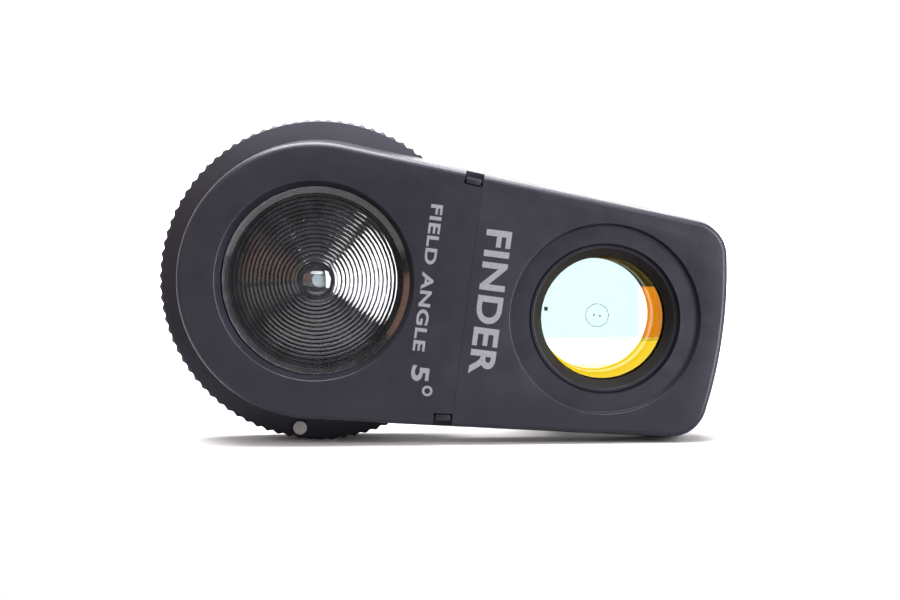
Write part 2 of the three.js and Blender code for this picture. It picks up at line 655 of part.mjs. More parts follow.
const MOULDED = finish(0x35353a, 0.45);
const GRIP = finish(0x1c1c1e, 0.55);
const INNER = finish(0x151516, 0.8);
const CLEAR = { color: 0xcfe0ea, roughness: 0.05, metalness: 0, transparent: true, opacity: 0.4 };
const MIRROR = { color: 0xd09a3c, roughness: 0.05, metalness: 0, transparent: true, opacity: 0.5 };
const OPAL = finish(0xe8e8e4, 0.6);
const ALUMINIUM = finish(0xa8aaad, 0.35, 1);
const STEEL = finish(0x8c8e91, 0.3, 1);
const RUBBER = finish(0x141414, 0.9);
const PAINT = finish(0x8a8a88, 0.6);

const attachment = new THREE.Group();

function add(name, geometry, look, x = 0) {
  const mesh = new THREE.Mesh(geometry, new THREE.MeshStandardMaterial(look));
  mesh.name = name;
  mesh.position.x = x;
  attachment.add(mesh);
}

add('front_cover', frontCover(), MOULDED);
add('rear_cover', rearCover(), MOULDED);
add('condenser_lens', condenserLens(), CLEAR);
add('lens_retainer', ring(retainerIn, lensR, retainerY, retainerY + RETAINER_T, MEDIUM), INNER);
add('light_funnel', lightFunnel(), INNER);
add('field_stop', ring(STOP_HOLE_R, STOP_R, stopY, stopY + STOP_T, COARSE), INNER);
add('cell_window', disc(STOP_R, cellWindowY, cellWindowY + WINDOW_T, COARSE), OPAL);
add('light_divider', block(
  dividerX - DIVIDER_T / 2, dividerX + DIVIDER_T / 2, FACE_T + GAP, seatEnd, -dividerZ, dividerZ,
), INNER);
add('ring_retainer', ringRetainer(), ALUMINIUM);
const ball = new THREE.SphereGeometry(BALL_R, 16, 10);
add('detent_ball', ball.translate(ballPlace, pinY, 0).rotateY(-BALL_ANGLE), STEEL);
add('detent_spring', detentSpring(), STEEL);

add('finder_bezel', finderBezel(), MOULDED, FINDER_X);
add('mirror_window', lens(windowR, mirrorY, MIRROR_T, MIRROR_SAG, MIRROR_SAG), MIRROR, FINDER_X);
add('finder_tube', ring(tubeIn, sleeveR, tubeY, tubeY + TUBE_LENGTH, MEDIUM), INNER, FINDER_X);
add('reticle_disc', disc(sleeveR, reticleY, reticleY + RETICLE_T, MEDIUM), CLEAR, FINDER_X);
add('reticle_spacer', ring(eyeIn, sleeveR, spacerY, spacerY + SPACER_T, MEDIUM), INNER, FINDER_X);
add('eyepiece_housing', eyepieceHousing(), MOULDED, FINDER_X);
const eyeLens = lens(eyeLensR, eyeLensY, EYE_LENS_T, -EYE_LENS_SAG, EYE_LENS_SAG);
add('eyepiece_lens', eyeLens, CLEAR, FINDER_X);
add('eyepiece_ring', ring(eyeRingIn, eyeLensR, eyeRingY, eyeRingY + EYE_RING_T, MEDIUM), INNER, FINDER_X);
add('eyecup', eyecup(), RUBBER, FINDER_X);

const coverScrew = screw(SCREW_R, SCREW_HEAD_R, SCREW_HEAD_T, SCREW_LENGTH, deckEnd - SCREW_SUNK, COARSE);
atScrews(coverScrew).forEach((piece, i) => add(`cover_screw_${i + 1}`, piece, STEEL));
const smallScrew = (back) => screw(SMALL_SCREW_R, SMALL_HEAD_R, SMALL_HEAD_T, SMALL_LENGTH, back, SMALL);
threeAround(retainingScrewR, 0, smallScrew(retainingY + RETAINING_T))
  .forEach((piece, i) => add(`retainer_screw_${i + 1}`, piece, STEEL));

add('lock_ring', lockRing(), GRIP);
add('bayonet_ring', bayonetRing(), ALUMINIUM);
const dot = disc(DOT_R, ringStart - DOT_PROUD, ringStart + DOT_T, COARSE);
add('index_dot', moved(dot, 0, 0, -dotPlace), PAINT);
add('stop_pin', radialPin(PIN_R, pinIn, pinOut, pinY, PIN_ANGLE, SMALL), STEEL);
threeAround(bayonetScrewR, Math.PI / 3, smallScrew(ringEnd - SMALL_SUNK))
  .forEach((piece, i) => add(`bayonet_screw_${i + 1}`, piece, STEEL));

// The knurled ring and the lower corner of the narrow end both stand on the ground.
const cornerReach = Math.hypot(cornerAt.x, cornerAt.y);
const cornerFoot = CORNER_R + flare;
const tilt = Math.asin((ringR - cornerFoot) / cornerReach) - Math.atan2(cornerAt.y, cornerAt.x);
attachment.rotation.y = tilt;

const part = new THREE.Group();
part.add(attachment);
part.updateMatrixWorld(true);
const bounds = new THREE.Box3().setFromObject(part, true);
attachment.position.set(
  -(bounds.min.x + bounds.max.x) / 2,
  -(bounds.min.y + bounds.max.y) / 2,
  -bounds.min.z,
);

export default part;
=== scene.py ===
import json
import math
from functools import partial

import bpy
from mathutils import Matrix, Vector


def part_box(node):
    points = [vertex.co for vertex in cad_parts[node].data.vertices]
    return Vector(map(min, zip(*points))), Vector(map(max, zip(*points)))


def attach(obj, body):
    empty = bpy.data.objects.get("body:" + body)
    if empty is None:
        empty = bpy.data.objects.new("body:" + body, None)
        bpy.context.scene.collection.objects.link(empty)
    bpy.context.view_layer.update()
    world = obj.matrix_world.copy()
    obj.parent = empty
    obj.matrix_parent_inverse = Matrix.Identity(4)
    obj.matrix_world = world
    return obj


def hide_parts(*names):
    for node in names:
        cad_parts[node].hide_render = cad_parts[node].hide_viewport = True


# Spot viewfinder attachment for a hand-held exposure meter: its visible pieces, their
# finishes, the light and the camera.  Pieces are modelled in millimetres in the body's
# own frame, and place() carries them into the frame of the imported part.  In that frame
# X runs from the condenser's axis to the finder, Y runs back from the front face, and
# Z is up across the body.

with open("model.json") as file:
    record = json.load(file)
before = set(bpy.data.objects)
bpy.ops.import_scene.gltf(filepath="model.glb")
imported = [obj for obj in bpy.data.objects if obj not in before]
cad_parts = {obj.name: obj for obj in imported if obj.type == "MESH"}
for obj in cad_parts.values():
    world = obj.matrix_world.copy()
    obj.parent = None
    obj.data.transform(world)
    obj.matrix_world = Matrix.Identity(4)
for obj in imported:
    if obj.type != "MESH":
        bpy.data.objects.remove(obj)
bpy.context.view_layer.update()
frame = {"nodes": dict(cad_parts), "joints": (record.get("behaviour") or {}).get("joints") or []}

# ---------- places, from the frame ----------
MM = 0.001
ring_axis = Vector(frame["joints"][0]["pos_m"])
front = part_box("front_cover")[0].y


def middle(node):
    lo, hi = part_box(node)
    return (lo + hi) / 2


def depths(node):
    """Front and back of a CAD node, in millimetres behind the front face."""
    lo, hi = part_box(node)
    return (lo.y - front) / MM, (hi.y - front) / MM


def radius(node):
    """Outer radius of a round CAD node, in millimetres."""
    lo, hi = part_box(node)
    return (hi.z - lo.z) / 2 / MM


across = middle("finder_tube") - ring_axis
PLACE = (
    Matrix.Translation((ring_axis.x, front, ring_axis.z))
    @ Matrix.Rotation(math.atan2(-across.z, across.x), 4, "Y")
    @ Matrix.Scale(MM, 4)
)


def seat(node):
    """Where a CAD node's middle is, in the body's own frame."""
    return PLACE.inverted() @ middle(node)


# ---------- sizes, in millimetres ----------
FINDER_X = math.hypot(across.x, across.z) / MM
GAP = 0.3                    # clearance between neighbouring pieces
REACH = 3.0                  # how far a cutter runs past the face that it opens
ROUND = 128                  # facets round a large circle
SMALL = 40                   # facets round a small one
FINE = 160                   # facets round the two windows, which are seen closest
SMOOTH_BELOW = math.radians(32)  # edges that turn by less than this are shaded smooth

# body
END_R = 21.4                 # round end of the front face
DISH_R = 15.3                # mouth of the dish around the finder
SIDE_LAND = 2.3              # flat face between the dish and the long sides
NOSE_LAND = 3.0              # flat face between the dish and the narrow end
NOSE_X = FINDER_X + DISH_R + NOSE_LAND
NOSE_R = 74.0                # gentle curve of the narrow end
CORNER_R = 4.9
EDGE_R = 0.9                 # rounding between face and skirt
DRAFT = math.radians(7.4)    # the skirt flares towards the back
SKIRT = depths("front_cover")[1]
FACE_T = 1.8
WALL = 1.6
BAND_X = 23.4                # faint sunk band between the two notches
BAND_W = 3.0
BAND_DEEP = 0.07
BAND_REACH = 30.0            # half length of the cutter that sinks the band
NOTCH_DEEP = 1.1             # how far a notch goes in from the face's edge
NOTCH_END = 3.0
HOOK_W = 2.4                 # the snap hooks that show in the notches
HOOK_START = 0.4
HOOK_END = 2.7
SEAT_R = 17.9                # tube behind the face that holds the condenser
SEAT_BORE = 15.6             # room for the condenser's flange
PILLAR_R = 2.2               # screw pillars
TAPER = math.asin((END_R - DISH_R - SIDE_LAND) / FINDER_X)

# rear cover
PLATE_Y = depths("rear_cover")[0]
DECK_Y = SKIRT + GAP
DECK_END = DECK_Y + 2.6
DECK_EDGE = 0.9
RING_ROOM = 0.7              # air between the deck and the turning ring
BARREL_IN = 12.2
BARREL_OUT = 14.0
BARREL_END = SKIRT + 9.4
SOCKET_R = 17.6
BOSS_R = 20.6
CHAMBER_R = 16.2
SOCKET_END = SKIRT + 7.6
SOCKET_FLOOR = SOCKET_END - 2.9
SOCKET_FLOOR_T = 1.0
CELL_WINDOW_R = 5.6
SCREW_SHANK = 1.1            # holes for the cover screws
SCREW_HEAD = 1.9
SCREW_DEEP = 1.55

# condenser and finder
RECESS_R = 16.0
LIP_R = 14.9
LIP_Y = 2.6
GROOVE_PITCH = 0.675
GROOVE_FOOT = 0.16           # width of a groove's steep side
GROOVE_SLOPES = (20, 23, 26, 29)  # degrees, along the rounded side of a groove
HUB_R = 2.8                  # smooth domed middle of the condenser lens
HUB_SAG = 0.9
HUB_FOOT = 0.34              # the deeper step round the hub
STEEP = 0.8                  # faces that lean by more than this share are walls
DISH_FLOOR_R = 12.0
DISH_DEPTH = 2.2
DISH_WALL = 1.3              # plastic behind and around the dish
BOWL_W = 3.3                 # width of the dish's curved slope
BEZEL_LIP = 0.55             # flat rim between the dish and the bezel's mouth
BEZEL_BORE = 10.1
MIRROR_SAG = -0.5
EYE_SAG = 0.4
DASHES = 16                  # in the reticle's spot circle
DASH_SHARE = 0.72
SPOT_R = 2.0
SPOT_LINE = 0.12
DOT_R = 0.17
DOTS_X = (-0.55, 0.5)
MARK_HALF = 0.33
MARK_X = -8.75               # square mark on the reticle, from the finder's axis

# lock ring
RING_R = radius("lock_ring")
RING_START, RING_END = depths("lock_ring")
KNURL_TEETH = 90
KNURL_DEPTH = 0.38
RING_CHAMFER = 0.5
RING_BORE = 21.0
RING_SLOPE = 1.3             # fall of the ring's front, from its inner part to its chamfer
DOT_AT = seat("index_dot")
CONE_START = BOSS_R + 2.4    # inner edge of the ring's sloping front

# back of the lock ring
LUGS = 3
LUG_SPAN = math.radians(36)
BAYONET_BORE = 19.4          # between the lugs
RING_SCREW_R = 1.35          # holes for the small screws

# eyepiece
EYE_BORE = 9.8
EYE_SPIGOT = 11.9            # the part that slides into the barrel
EYE_SEAT = 10.7
CUP_GROOVES = 3
CUP_GROOVE_STEP = 1.15
CUP_GROOVE_DEEP = 0.32
CUP_LIP_W = 4.0
CUP_LIP_T = 1.3
CUP_WALL = 1.7

# print on the face
PRINT_T = 0.03               # thickness of the ink, two thirds of it in the face
WORD_X, WORD_CAP, WORD_LONG, WORD_Z = 28.5, 4.1, 23.4, 11.9
LINE_X, LINE_CAP, LINE_LONG, LINE_Z = 18.05, 1.95, 23.7, 14.7
ANGLE_X, ANGLE_CAP, ANGLE_LONG, ANGLE_Z = 18.8, 2.9, 2.5, -11.3
DEGREE_X, DEGREE_R, DEGREE_Z = 20.3, 0.85, -15.2
LETTER_WEIGHT = 0.028        # how much the strokes are thickened, as a share of the letter size
LETTER_SPACING = 1.08


# ---------- modelling ----------
def activate(obj):
    bpy.ops.object.select_all(action="DESELECT")
    obj.select_set(True)
    bpy.context.view_layer.objects.active = obj


def in_edit_mode(obj, *steps):
    """Runs operators one after another on everything in the mesh."""
    activate(obj)
    bpy.ops.object.mode_set(mode="EDIT")
    bpy.ops.mesh.select_all(action="SELECT")
    for step in steps:
        step()
    bpy.ops.object.mode_set(mode="OBJECT")


def clean():
    bpy.ops.mesh.select_all(action="SELECT")
    bpy.ops.mesh.remove_doubles(threshold=0.0005)
    bpy.ops.mesh.normals_make_consistent(inside=False)


def as_mesh(data, name):
    obj = bpy.data.objects.new(name, data)
    bpy.context.scene.collection.objects.link(obj)
    activate(obj)
    bpy.ops.object.convert(target="MESH")
    return bpy.context.view_layer.objects.active


def add_spline(curve, points, closed):
    spline = curve.splines.new("POLY")
    spline.points.add(len(points) - 1)
    for target, point in zip(spline.points, points):
        target.co = (*point, 1)
    spline.use_cyclic_u = closed


def wire(name, points, closed=True):
    """Edges through a run of points."""
    curve = bpy.data.curves.new(name, "CURVE")
    curve.dimensions = "3D"
    add_spline(curve, points, closed)
    return as_mesh(curve, name)


def corner_arc(before, at, after, r, steps):
    """An arc of radius r in the corner between two straight runs."""
    u = (before - at).normalized()
    v = (after - at).normalized()
    half = u.angle(v) / 2
    limit = 0.49 * min((before - at).length, (after - at).length)
    reach = min(r / math.tan(half), limit)
    centre = at + (u + v).normalized() * reach / math.cos(half)
    start = at + u * reach - centre
    turn = (at + v * reach - centre).angle_signed(start)
    return [centre + Matrix.Rotation(turn * i / steps, 2) @ start for i in range(steps + 1)]


def rounded(corners, closed, steps=5):
    """Points through corners of (x, y), or of (x, y, radius) where the corner is rounded."""
    points = []
    for i, corner in enumerate(corners):
        at = Vector(corner[:2])
        if len(corner) == 2 or (not closed and i in (0, len(corners) - 1)):
            points.append(at)
            continue
        before = Vector(corners[i - 1][:2])
        after = Vector(corners[(i + 1) % len(corners)][:2])
        points += corner_arc(before, at, after, corner[2], steps)
    return points


def turned(name, profile, facets=ROUND, x=0.0, z=0.0):
    """A profile of (radius, depth) spun about an axis along Y."""
    closed = min(point[0] for point in profile) > 0
    line = [(r, y, 0) for r, y in rounded(profile, closed)]
    obj = wire(name, line, closed)
    spin = partial(bpy.ops.mesh.spin, steps=facets, angle=math.tau, center=(0, 0, 0), axis=(0, 1, 0))
    in_edit_mode(obj, spin, clean)
    obj.data.transform(Matrix.Translation((x, 0, z)))
    return obj


def skin(name, loops):
    """A closed solid through loops at rising depth."""
    rings = [wire(name, loop) for loop in loops]
    activate(rings[0])
    for ring in rings:
        ring.select_set(True)
    bpy.ops.object.join()
    in_edit_mode(
        rings[0],
        partial(bpy.ops.mesh.bridge_edge_loops, type="SINGLE"),
        partial(bpy.ops.mesh.select_all, action="SELECT"),
        partial(bpy.ops.mesh.fill_holes, sides=0),
        clean,
    )
    return rings[0]


def plate(name, outlines, y0, y1, edge):
    """A flat plate with rounded edges; the first outline is its rim, the others its holes."""
    curve = bpy.data.curves.new(name, "CURVE")
    curve.dimensions = "2D"
    curve.fill_mode = "BOTH"
    curve.extrude = (y1 - y0) / 2 - edge
    curve.bevel_depth = edge
    curve.bevel_resolution = 2
    curve.offset = -edge
    for outline_points in outlines:
        add_spline(curve, [(px, pz, 0) for px, pz in outline_points], True)
    obj = as_mesh(curve, name)
    lay = Matrix.Translation((0, (y0 + y1) / 2, 0)) @ Matrix.Rotation(math.pi / 2, 4, "X")
    obj.data.transform(lay)
    in_edit_mode(obj, clean)
    return obj


def block(name, x0, x1, y0, y1, z0, z1):
    bpy.ops.object.select_all(action="DESELECT")
    bpy.ops.mesh.primitive_cube_add(size=1)
    obj = bpy.context.object
    obj.name = name
    stretch = Matrix.Diagonal((x1 - x0, y1 - y0, z1 - z0, 1))
    obj.data.transform(Matrix.Translation(((x0 + x1) / 2, (y0 + y1) / 2, (z0 + z1) / 2)) @ stretch)
    return obj


def combine(obj, others, operation):
    for other in others:
        modifier = obj.modifiers.new("combine", "BOOLEAN")
        modifier.operation = operation
        modifier.solver = "EXACT"
        modifier.object = other
        activate(obj)
        bpy.ops.object.modifier_apply(modifier=modifier.name)
        bpy.data.objects.remove(other, do_unlink=True)
    return obj


def cut(obj, *cutters):
    return combine(obj, cutters, "DIFFERENCE")


def join(obj, *others):
    return combine(obj, others, "UNION")


def soften(obj, width, steps=2, angle=35):
    """Rounds every edge that turns by more than the angle."""
    modifier = obj.modifiers.new("soften", "BEVEL")
    modifier.width = width
    modifier.segments = steps
    modifier.limit_method = "ANGLE"
    modifier.angle_limit = math.radians(angle)
    modifier.use_clamp_overlap = True
    activate(obj)
    bpy.ops.object.modifier_apply(modifier=modifier.name)
    return obj


def copy_of(obj, name, shift):
    twin = obj.copy()
    twin.data = obj.data.copy()
    twin.name = name
    bpy.context.scene.collection.objects.link(twin)
    twin.data.transform(Matrix.Translation(shift))
    return twin


def place(obj, body, slot, finish, *nodes):
    """Carries a finished piece into the part's frame and gives it its finish."""
    obj.data.transform(PLACE)
    obj.data.materials.clear()
    obj.data.materials.append(finish)
    activate(obj)
    bpy.ops.object.shade_smooth_by_angle(angle=SMOOTH_BELOW)
    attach(obj, body)
    if nodes:
        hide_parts(*nodes)
    return obj


def second_finish(obj, finish, takes):
    """Gives a second finish to the faces whose normals pass a test."""
    obj.data.materials.append(finish)
    for face in obj.data.polygons:
        face.material_index = 1 if takes(face.normal) else 0


# ---------- body outline ----------
def corner_centre():
    """The corner arc touches the long side and the arc of the narrow end."""
    slope = math.tan(TAPER)
    rise = (END_R - CORNER_R) / math.cos(TAPER)
    nose_middle = NOSE_X - NOSE_R
    a = 1 + slope * slope
    b = -2 * nose_middle - 2 * rise * slope
    c = nose_middle ** 2 + rise ** 2 - (NOSE_R - CORNER_R) ** 2
    x = (-b + math.sqrt(b * b - 4 * a * c)) / (2 * a)
    return x, rise - x * slope


CORNER_X, CORNER_Z = corner_centre()


def arc(cx, cz, r, start, end, steps):
    angles = [start + (end - start) * i / steps for i in range(steps + 1)]
    return [(cx + r * math.cos(a), cz + r * math.sin(a)) for a in angles]


def outline(offset):
    """The teardrop, moved outwards by an offset."""
    nose = math.atan2(CORNER_Z, CORNER_X - (NOSE_X - NOSE_R))
    side = math.pi / 2 - TAPER
    return [
        *arc(NOSE_X - NOSE_R, 0, NOSE_R + offset, -nose, nose, 12)[:-1],
        *arc(CORNER_X, CORNER_Z, CORNER_R + offset, nose, side, 16),
        *arc(0, 0, END_R + offset, side, math.tau - side, 90),
        *arc(CORNER_X, -CORNER_Z, CORNER_R + offset, -side, -nose, 16)[:-1],
    ]


def long_side(x):
    """Half width of the front face at a distance from the condenser's axis."""
    return (END_R - x * math.sin(TAPER)) / math.cos(TAPER)


def skirt_offset(y):
    turn = math.pi / 2 - DRAFT
    return EDGE_R * math.sin(turn) + (y - EDGE_R * (1 - math.cos(turn))) * math.tan(DRAFT)


def lofted(name, sections):
    """A solid through teardrops; each section is its offset and its depth."""
    return skin(name, [[(x, y, z) for x, z in outline(offset)] for offset, y in sections])


FLARE = skirt_offset(SKIRT)


def edge_block(name, side, width, deep, rise, y0, y1):
    """A block on the long side beside the band; depth is measured in from the face's edge."""
    obj = block(name, -width / 2, width / 2, y0, y1, -deep, rise)
    lean = Matrix.Translation((BAND_X, 0, long_side(BAND_X))) @ Matrix.Rotation(TAPER, 4, "Y")
    obj.data.transform(lean)
    if side < 0:
        obj.data.transform(Matrix.Diagonal((1, 1, -1, 1)))
        in_edit_mode(obj, clean)
    return obj


def at_screws(name, profile):
    seats = [seat(f"cover_screw_{i}") for i in range(1, 5)]
    return [turned(name, profile, SMALL, s.x, s.z) for s in seats]


# ---------- covers ----------
def mouth(r, edge, steps=5):
    """The rounded mouth of a round recess, from outside to inside."""
    angles = [math.pi / 2 * i / steps for i in range(steps + 1)]
    return [(r + edge - edge * math.sin(a), edge - edge * math.cos(a)) for a in angles]


def front_cover(finish):
    turn = math.pi / 2 - DRAFT
    edge = [turn * i / 8 for i in range(9)]
    round_over = [(EDGE_R * math.sin(a), EDGE_R * (1 - math.cos(a))) for a in edge]
    lip = [(FLARE - 0.12, SKIRT - 0.12), (FLARE - 0.2, SKIRT)]
    cover = lofted("cover_front", [*round_over, (skirt_offset(SKIRT - 0.3), SKIRT - 0.3), *lip])
    cavity = lofted("cavity", [
        (skirt_offset(FACE_T) - WALL, FACE_T),
        (skirt_offset(SKIRT + REACH) - WALL, SKIRT + REACH),
    ])
    cut(cover, cavity)
    seat_end = PLATE_Y - GAP
    seat_start = FACE_T - 0.5
    lens_seat = turned("seat", [(10, seat_start), (SEAT_R, seat_start), (SEAT_R, seat_end), (10, seat_end)])
    wall_end = DISH_DEPTH + DISH_WALL
    wall_r = DISH_R + DISH_WALL
    finder_wall = turned("wall", [(9, 1), (wall_r, 1), (wall_r, wall_end), (9, wall_end)], ROUND, FINDER_X)
    pillars = at_screws("pillar", [(0, 1), (PILLAR_R, 1), (PILLAR_R, seat_end), (0, seat_end)])
    join(cover, lens_seat, finder_wall, *pillars)
    recess = turned("recess", [
        (0, -REACH), (RECESS_R + 0.25, -REACH), *mouth(RECESS_R, 0.25), (LIP_R + 0.12, LIP_Y - 0.1),
        (LIP_R, LIP_Y), (LIP_R, LIP_Y + GAP), (SEAT_BORE, LIP_Y + GAP), (SEAT_BORE, SKIRT), (0, SKIRT),
    ], FINE)
    angles = [math.pi / 2 * i / 16 for i in range(1, 17)]
    bowl = [(DISH_FLOOR_R + BOWL_W * math.cos(a), DISH_DEPTH * math.sin(a)) for a in angles]
    dish = turned("dish", [
        (0, -REACH), (DISH_R + 0.15, -REACH), *mouth(DISH_R, 0.15), *bowl,
        (DISH_FLOOR_R, SKIRT), (0, SKIRT),
    ], FINE, FINDER_X)
    notches = [
        edge_block("notch", side, BAND_W, NOTCH_DEEP, REACH, -REACH, NOTCH_END) for side in (1, -1)
    ]
    band_start, band_end = BAND_X - BAND_W / 2, BAND_X + BAND_W / 2
    band = block("band", band_start, band_end, -1, BAND_DEEP, -BAND_REACH, BAND_REACH)
    return place(cut(cover, recess, dish, *notches, band), "body", "moulded_body", finish, "front_cover")


def snap_hook(side):
    """A hook on a springing arm that clips into a notch of the front cover."""
    arm = edge_block("hook", side, HOOK_W, 2.8, -1.2, FACE_T + GAP, PLATE_Y + 1)
    hook = edge_block("hook", side, HOOK_W, 0.9, 0.05, HOOK_START, HOOK_END)
    root = edge_block("hook", side, HOOK_W, 1.8, -0.9, FACE_T + GAP, HOOK_END)
    return soften(join(arm, hook, root), 0.12)


def rear_cover(finish):
    inside = skirt_offset(PLATE_Y) - WALL - GAP
    behind = skirt_offset(SKIRT) - WALL - GAP
    cover = lofted("cover_rear", [(inside, PLATE_Y), (behind, SKIRT), (behind, DECK_Y + GAP)])
    edge = [math.pi / 2 * i / 6 for i in range(7)]
    round_over = [
        (FLARE - DECK_EDGE * (1 - math.cos(a)), DECK_END - DECK_EDGE * (1 - math.sin(a))) for a in edge
    ]
    deck = lofted("deck", [(FLARE - 0.15, DECK_Y), (FLARE, DECK_Y + 0.15), *round_over])
    join(cover, deck)
    room = RING_R + RING_ROOM
    far = DECK_END + REACH
    ring_room = turned("room", [(0, SKIRT), (room, SKIRT), (room, far), (0, far)])
    chamber = turned("chamber", [(0, 0), (CHAMBER_R, 0), (CHAMBER_R, far), (0, far)])
    bore = turned("bore", [(0, 0), (BARREL_IN, 0), (BARREL_IN, far), (0, far)], ROUND, FINDER_X)
    cut(cover, ring_room, chamber, bore)
    root = END_R + inside
    floor_front = SOCKET_FLOOR - SOCKET_FLOOR_T
    socket = turned("socket", [
        (CHAMBER_R, PLATE_Y), (root, PLATE_Y), (root, DECK_Y), (BOSS_R, DECK_Y),
        (BOSS_R, SOCKET_END, 0.25), (SOCKET_R, SOCKET_END, 0.4), (SOCKET_R, SOCKET_FLOOR, 0.3),
        (CELL_WINDOW_R, SOCKET_FLOOR, 0.3), (CELL_WINDOW_R, floor_front), (CHAMBER_R, floor_front),
    ])
    barrel = turned("barrel", [
        (BARREL_IN, PLATE_Y), (BARREL_OUT, PLATE_Y),
        (BARREL_OUT, BARREL_END, 0.4), (BARREL_IN, BARREL_END, 0.2),
    ], ROUND, FINDER_X)
    join(cover, socket, barrel, snap_hook(1), snap_hook(-1))
    head_floor = DECK_END - SCREW_DEEP
    flared = SCREW_HEAD + 0.2
    holes = at_screws("hole", [
        (0, 0), (SCREW_SHANK, 0), (SCREW_SHANK, head_floor), (SCREW_HEAD, head_floor),
        (SCREW_HEAD, DECK_END - 0.2), (flared, DECK_END), (flared, far), (0, far),
    ])
    return place(cut(cover, *holes), "body", "moulded_body", finish, "rear_cover")


# ---------- condenser ----------
def condenser_lens(finish, steep):
    """Saw-tooth rings in front, each with a rounded slope and a steep inner side; flat behind."""
    lens_front, lens_back = depths("condenser_lens")
    r_out = radius("condenser_lens")
    hub = [(HUB_R * i / 6, lens_front + HUB_SAG * (i / 6) ** 2) for i in range(7)]
    grooves = []
    r = HUB_R
    while r + GROOVE_PITCH < LIP_R:
        grooves.append((r + (GROOVE_FOOT if grooves else HUB_FOOT), lens_front))
        fall = 0.0
        run = (GROOVE_PITCH - GROOVE_FOOT) / len(GROOVE_SLOPES)
        for slope in GROOVE_SLOPES:
            fall += run * math.tan(math.radians(slope))
            grooves.append((grooves[-1][0] + run, lens_front + fall))
        r += GROOVE_PITCH
    profile = [*hub, *grooves, (r_out, lens_front), (r_out, lens_back), (0, lens_back)]
    lens = place(turned("lens_condenser", profile, FINE), "body", "clear_acrylic", finish, "condenser_lens")
    # The steep walls take the second finish, whose dark colour is painted shade.
    second_finish(lens, steep, lambda normal: abs(normal.y) < STEEP)


# ---------- lock ring ----------
def knurl(y, limit):
    """One turn of rounded ridges with flutes of the same width between them, held within a limit."""
    points = []
    for i in range(KNURL_TEETH * 8):
        angle = math.tau * i / (KNURL_TEETH * 8) - math.pi / 2
        ridge = math.cos(math.pi * (i % 8) / 8) ** 2
        r = min(RING_R - KNURL_DEPTH * (1 - ridge), limit)
        points.append((r * math.cos(angle), y, r * math.sin(angle)))
    return points


def lock_ring(finish):
    steps = [RING_CHAMFER * i / 5 for i in range(6)]
    brim = RING_R - RING_CHAMFER
    cone = [(RING_START, CONE_START), (RING_START + RING_SLOPE - 0.02, brim - 0.12)]
    start = [(RING_START + RING_SLOPE + s, brim + s) for s in steps]
    end = [(RING_END - s, brim + s) for s in reversed(steps)]
    ring = skin("ring_grip", [knurl(y, limit) for y, limit in [*cone, *start, *end]])
    flange = radius("ring_retainer") + GAP
    bayonet_y, bayonet_r = depths("bayonet_ring")[0] - GAP, radius("bayonet_ring") + GAP
    far = RING_END + REACH
    bore = turned("bore", [
        (0, 0), (RING_BORE, 0), (RING_BORE, SOCKET_END), (flange, SOCKET_END),
        (flange, bayonet_y), (bayonet_r, bayonet_y), (bayonet_r, far), (0, far),
    ])
    dot_r = radius("index_dot") + 0.12
    dot_end = depths("index_dot")[1] + 0.1
    dot_profile = [(0, 0), (dot_r, 0), (dot_r, dot_end), (0, dot_end)]
    dot_hole = turned("dot_hole", dot_profile, SMALL, DOT_AT.x, DOT_AT.z)
    return place(cut(ring, bore, dot_hole), "twist_ring", "moulded_grip", finish, "lock_ring")


def index_dot(finish):
    y0, y1 = depths("index_dot")
    r = radius("index_dot")
    profile = [(0, y0), (r * 0.7, y0 + 0.01), (r, y0 + 0.06, 0.04), (r, y1), (0, y1)]
    dot = turned("dot_index", profile, SMALL, DOT_AT.x, DOT_AT.z)
    return place(dot, "twist_ring", "dot_paint", finish, "index_dot")


def bayonet_ring(finish):
    y0, y1 = depths("bayonet_ring")
    lug_r = SOCKET_R + GAP
    third = math.tau / LUGS
    inside = []
    for i in range(LUGS):
        inside += arc(0, 0, lug_r, third * i, third * i + LUG_SPAN, 12)
        inside += arc(0, 0, BAYONET_BORE, third * i + LUG_SPAN, third * (i + 1), 24)
    rim = arc(0, 0, radius("bayonet_ring"), 0, math.tau, ROUND)[:-1]
    ring = plate("ring_bayonet", [rim, inside], y0, y1, 0.1)
    holes = []
    for i in range(1, 4):
        at = seat(f"bayonet_screw_{i}")
        floor = y1 - 0.95
        profile = [(0, floor), (RING_SCREW_R, floor), (RING_SCREW_R, y1 + 1), (0, y1 + 1)]
        holes.append(turned("hole", profile, SMALL, at.x, at.z))
    return place(cut(ring, *holes), "twist_ring", "aluminium", finish, "bayonet_ring")


def ring_retainer(finish):
    y0, y1 = depths("ring_retainer")
    r = radius("ring_retainer")
    flange = turned("retainer_plate", [
        (SOCKET_R + GAP, y0, 0.08), (r, y0, 0.08), (r, y1, 0.12), (SOCKET_R + GAP, y1, 0.12),
    ])
    holes = []
    for i in range(1, 4):
        at = seat(f"retainer_screw_{i}")
        profile = [(0, y0 - 1), (RING_SCREW_R, y0 - 1), (RING_SCREW_R, y1 + 1), (0, y1 + 1)]
        holes.append(turned("hole", profile, SMALL, at.x, at.z))
    return place(cut(flange, *holes), "body", "aluminium", finish, "ring_retainer")


# ---------- screws ----------
# shank radius, head radius, head height, height of its dome
COVER_SCREW = (0.8, 1.6, 0.9, 0.35)
RING_SCREW = (0.55, 1.05, 0.6, 0.2)


